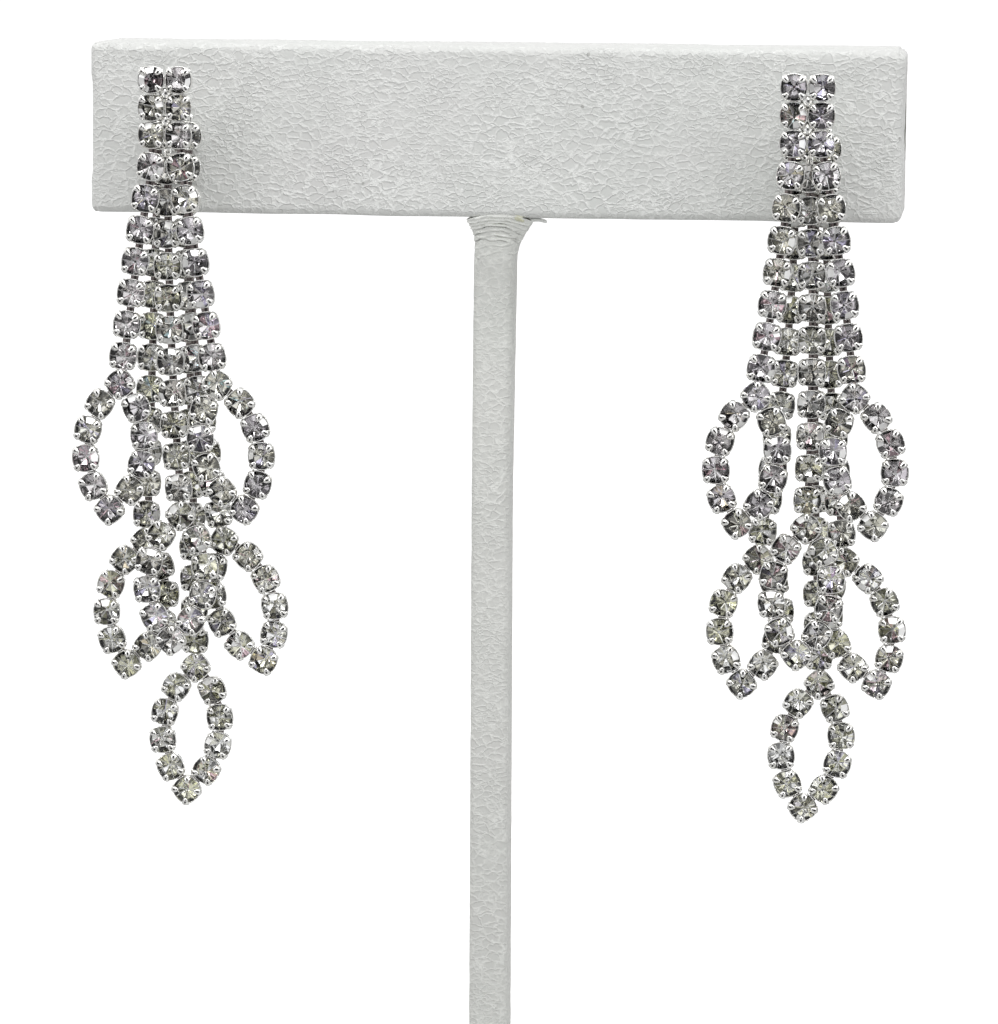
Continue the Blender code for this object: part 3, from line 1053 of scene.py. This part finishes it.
def stone_lean(chance):
    """A small random lean of a stone about its girdle, with a skew that makes its facets uneven."""
    axis = Vector((chance.uniform(-1, 1), chance.uniform(-1, 1), 0)).normalized()
    skew = Matrix.Identity(4)
    skew[0][2], skew[1][2] = chance.uniform(-SKEW, SKEW), chance.uniform(-SKEW, SKEW)
    tilt = Matrix.Rotation(chance.uniform(0.2, 1) * STONE_TILT, 4, axis)
    pivot = Vector((0, 0, GIRDLE_HEIGHT))
    return Matrix.Translation(pivot) @ tilt @ skew @ Matrix.Translation(-pivot)


def add_stone(bm, tone, stone, place, chance, layer):
    """One stone with its own lean, turn and tones. Stones further back get a painted yellow-green shade tint
    and painted light that lifts them out of the front layers' shadow.
    """
    lean = stone_lean(chance)
    spin = Matrix.Rotation(chance.uniform(0, 2 * pi), 4, "Z")
    # Painted shade: a yellow-green tint that grows with each layer back, plus a random share.
    painted_shade_share = min(1.0, 0.30 * layer + chance.choice((0.0, 0.1, 0.5)))
    mains = [
        min(v.co.z for v in face.verts) < CULET_HEIGHT + MAIN_FACET_REACH for face in stone.faces
    ]
    for face, is_main in zip(copy_template(bm, stone, place @ lean @ spin), mains):
        # Some edge faces keep their painted highlight; a few crown facets become painted glints in place of
        # clear glass.
        if face.material_index == PAINTED_GLINT_FACE and chance.random() > PAINTED_EDGE_SHARE:
            face.material_index = BACK_FACE
        elif face.material_index == CROWN_FACE and len(face.verts) < 8 and chance.random() < PAINTED_GLINT_SHARE:
            face.material_index = PAINTED_GLINT_FACE
        # Painted light: stones further back are lifted by 12% a layer against the front layers' shadow.
        colour = painted_facet_reflection(chance, painted_shade_share, is_main) * (1 + 0.12 * layer)
        for loop in face.loops:
            loop[tone] = (*(min(1.0, c) for c in colour), 1)


def add_chain(node, cup, stone, size, seed, hangs_from=None, hangs_to=None):
    """The settings and the stones of one node of cup chain."""
    chance = random.Random(seed)
    stones = stones_of(node)
    places = [middle for middle, _ in stones]
    layer = round((places[0].y - FRONT_LAYER_Y) / LAYER_STEP)
    settings = bmesh.new()
    gems = bmesh.new()
    tone = gems.loops.layers.float_color.new("tone")
    upright = Matrix.Rotation(pi / 2, 4, "X")
    shrink = Matrix.Scale(size, 4)
    for middle, prong in stones:
        place = Matrix.Translation(middle) @ upright @ shrink
        copy_template(settings, cup, place @ Matrix.Rotation(prong - pi / 4, 4, "Z"))
        add_stone(gems, tone, stone, place, chance, layer)
    for a, b in neighbours(places):
        add_link(settings, *shortened(a, b, LINK_START))
    if node.endswith("stud_block"):
        add_solder(settings, places)
    if hangs_from is not None:
        start = places[0] + (hangs_from - places[0]).normalized() * LINK_START
        add_link(settings, start, hangs_from, PLATE_FACE if layer else LINK_FACE)
    if hangs_to is not None:
        add_link(settings, *shortened(places[-1], hangs_to, HANGER_START))
    new_piece(
        node + "_setting", settings, [SILVER, LINK_METAL, PAINTED_PINHOLE_SHADE], replaces=[node])
    new_piece(node + "_stones", gems, [CRYSTAL, FOIL, PAINTED_GLINT], smooth=False)


def add_earring(side, cup, stone, seed):
    """The block, the six strands and the six loops of one earring."""
    block = stones_of(f"{side}_stud_block")
    add_chain(f"{side}_stud_block", cup, stone, BLOCK_SIZE, seed)
    for number, name in enumerate(STRANDS):
        strand, loop = f"{side}_strand_{name}", f"{side}_loop_{name}"
        first = stones_of(strand)[0][0]
        if name in FRONT_STRANDS:
            nearest = min((middle for middle, _ in block), key=lambda middle: (middle - first).length)
            hangs_from = nearest + (first - nearest).normalized() * HANGER_START
        else:
            hangs_from = first + Vector((0, 0, HIDDEN_HANGER))
        loop_top = stones_of(loop)[0][0]
        add_chain(strand, cup, stone, STRAND_SIZE, seed + 2 * number + 1, hangs_from, loop_top)
        add_chain(loop, cup, stone, LOOP_SIZE, seed + 2 * number + 2)


def add_post(side):
    """The ear post on its soldered pad behind the middle of the block."""
    low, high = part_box(f"{side}_stud_block")
    x = (low.x + high.x) / 2
    places = [middle for middle, _ in stones_of(f"{side}_stud_block")]
    z = sum(middle.z for middle in places) / len(places)
    back, tip, sides = places[0].y, high.y, 20
    pad_then_pin = (
        (back - 0.45 * MM, 0.70), (back - 0.10 * MM, 0.72), (back, 0.66), (back + 0.05 * MM, 0.48),
        (back + 0.35 * MM, 0.40), (tip - 0.5 * MM, 0.40), (tip - 0.15 * MM, 0.34), (tip, 0.12))
    bm = bmesh.new()
    rings = []
    for y, radius in pad_then_pin:
        ring = []
        for k in range(sides):
            angle = 2 * pi * k / sides
            ring.append(bm.verts.new((x + radius * MM * cos(angle), y, z + radius * MM * sin(angle))))
        rings.append(ring)
    skin(bm, rings)
    new_piece(f"{side}_ear_post", bm, [SILVER])


# Camera, stage and light

def add_camera():
    """The photograph's view: a little above the bar, slightly from the right."""
    ahead = Vector((
        sin(CAMERA_YAW) * cos(CAMERA_PITCH), cos(CAMERA_YAW) * cos(CAMERA_PITCH), -sin(CAMERA_PITCH)))
    side = ahead.cross(Vector((0, 0, 1))).normalized()
    over = side.cross(ahead)
    right = cos(CAMERA_ROLL) * side - sin(CAMERA_ROLL) * over
    up = sin(CAMERA_ROLL) * side + cos(CAMERA_ROLL) * over
    data = bpy.data.cameras.new("camera")
    data.sensor_fit = "HORIZONTAL"
    data.sensor_width = SENSOR_WIDTH
    data.lens = FOCAL_LENGTH
    data.clip_start = 0.01
    camera = bpy.data.objects.new("camera", data)
    turn = Matrix((right, up, -ahead)).transposed()
    camera.matrix_world = Matrix.Translation(CAMERA_PLACE) @ turn.to_4x4()
    scene.collection.objects.link(camera)
    scene.camera = camera


def add_stage():
    """A pale floor that runs out into the white of the room."""
    material, shader, graph = new_material("stage_paper")
    fibre = graph.mottle(graph.place(), 300)
    graph.links.new(graph.ramp(fibre, ((0.3, 0.93), (0.7, 0.95))), shader.inputs["Base Color"])
    shader.inputs["Roughness"].default_value = 0.9
    shader.inputs["Specular IOR Level"].default_value = 0.1
    shader.inputs["Emission Color"].default_value = (1, 1, 1, 1)
    shader.inputs["Emission Strength"].default_value = 0.42
    bm = bmesh.new()
    bmesh.ops.create_circle(bm, cap_ends=True, segments=96, radius=1.6)
    mesh = bpy.data.meshes.new("stage_floor")
    bm.to_mesh(mesh)
    bm.free()
    mesh.materials.append(material)
    floor = bpy.data.objects.new("stage_floor", mesh)
    floor.visible_diffuse = False
    floor.visible_glossy = False
    floor.visible_transmission = False
    scene.collection.objects.link(floor)


def add_softbox(name, place, target, width, height, power):
    """A rectangular lamp that faces a target."""
    data = bpy.data.lights.new(name, "AREA")
    data.shape = "RECTANGLE"
    data.size, data.size_y = width, height
    data.energy = power
    lamp = bpy.data.objects.new(name, data)
    lamp.location = place
    lamp.rotation_euler = (Vector(target) - Vector(place)).to_track_quat("-Z", "Y").to_euler()
    scene.collection.objects.link(lamp)


def add_room():
    """A white room that is dark behind the viewer and dim at both sides, as the stones mirror it."""
    world = bpy.data.worlds.new("studio")
    scene.world = world
    world.use_nodes = True
    graph = Graph(world.node_tree)
    background = graph.nodes["Background"]
    direction = graph.place("Generated")
    parts = graph.nodes.new("ShaderNodeSeparateXYZ")
    graph.links.new(direction, parts.inputs[0])

    to_viewer = graph.along(direction, (0.10, -0.985, 0.14))
    to_sides = graph.along(direction, (0.97, 0.24, 0.0))
    viewer_wall = graph.ramp(to_viewer, ((0.0, 1.0), (0.89, 1.0), (0.94, 0.15), (1.0, 0.07)))
    side_walls = graph.ramp(to_sides, ((0.0, 1.0), (0.90, 1.0), (0.95, 0.45), (1.0, 0.32)))
    walls = graph.mix(1.0, viewer_wall, side_walls, "MULTIPLY")
    floor_shade = graph.map_range(parts.outputs["Z"], -0.35, 0.15, 0.55)
    mirrored = graph.mix(1.0, walls, floor_shade, "MULTIPLY")

    rays = graph.nodes.new("ShaderNodeLightPath")
    plain_rays = graph.calculate("MAXIMUM", rays.outputs["Is Camera Ray"], rays.outputs["Is Diffuse Ray"])
    white = (1, 1, 1, 1)
    graph.links.new(graph.mix(plain_rays, mirrored, white), background.inputs["Color"])

    from_below = graph.map_range(parts.outputs["Z"], -0.6, 0.1, 0.75)
    diffuse_strength = graph.calculate("MULTIPLY", from_below, 0.725)
    strength = graph.map_range(rays.outputs["Is Diffuse Ray"], 0.0, 1.0, 1.1, diffuse_strength)
    graph.links.new(strength, background.inputs["Strength"])


def add_lamps():
    """A soft box above and small bright lamps for glints."""
    add_softbox("softbox_top", (0.0, -0.28, 0.85), LIGHT_TARGET, 0.5, 0.3, 2.2)
    for number, lamp in enumerate(GLINT_LAMPS):
        angle = radians(lamp.angle)
        place = (LAMP_DISTANCE * sin(angle), -LAMP_DISTANCE * cos(angle), lamp.height)
        add_softbox(f"glint_{number}", place, LIGHT_TARGET, LAMP_SIZE, LAMP_SIZE, lamp.power)


add_camera()
add_stage()
add_room()
add_lamps()
add_bar()
add_bar_end_shadow("bar_end_shadow_left", BAR_BOX[0].x, -1, 2.0)
add_bar_end_shadow("bar_end_shadow_right", BAR_BOX[1].x, 1, 9.0)
add_base()
add_stem()
bar_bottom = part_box("stand_bar")[0].z / MM
add_rim_shadow(bar_bottom)
add_leather_end(bar_bottom)
add_glue_bead(bar_bottom)
stone_shape = stone_template()
cup_shape = cup_template()
for template in (stone_shape, cup_shape):
    template.verts.index_update()
for side_name, first_seed in EARRING_SEEDS:
    add_earring(side_name, cup_shape, stone_shape, first_seed)
    add_post(side_name)
stone_shape.free()
cup_shape.free()

scene.view_settings.view_transform = "Standard"
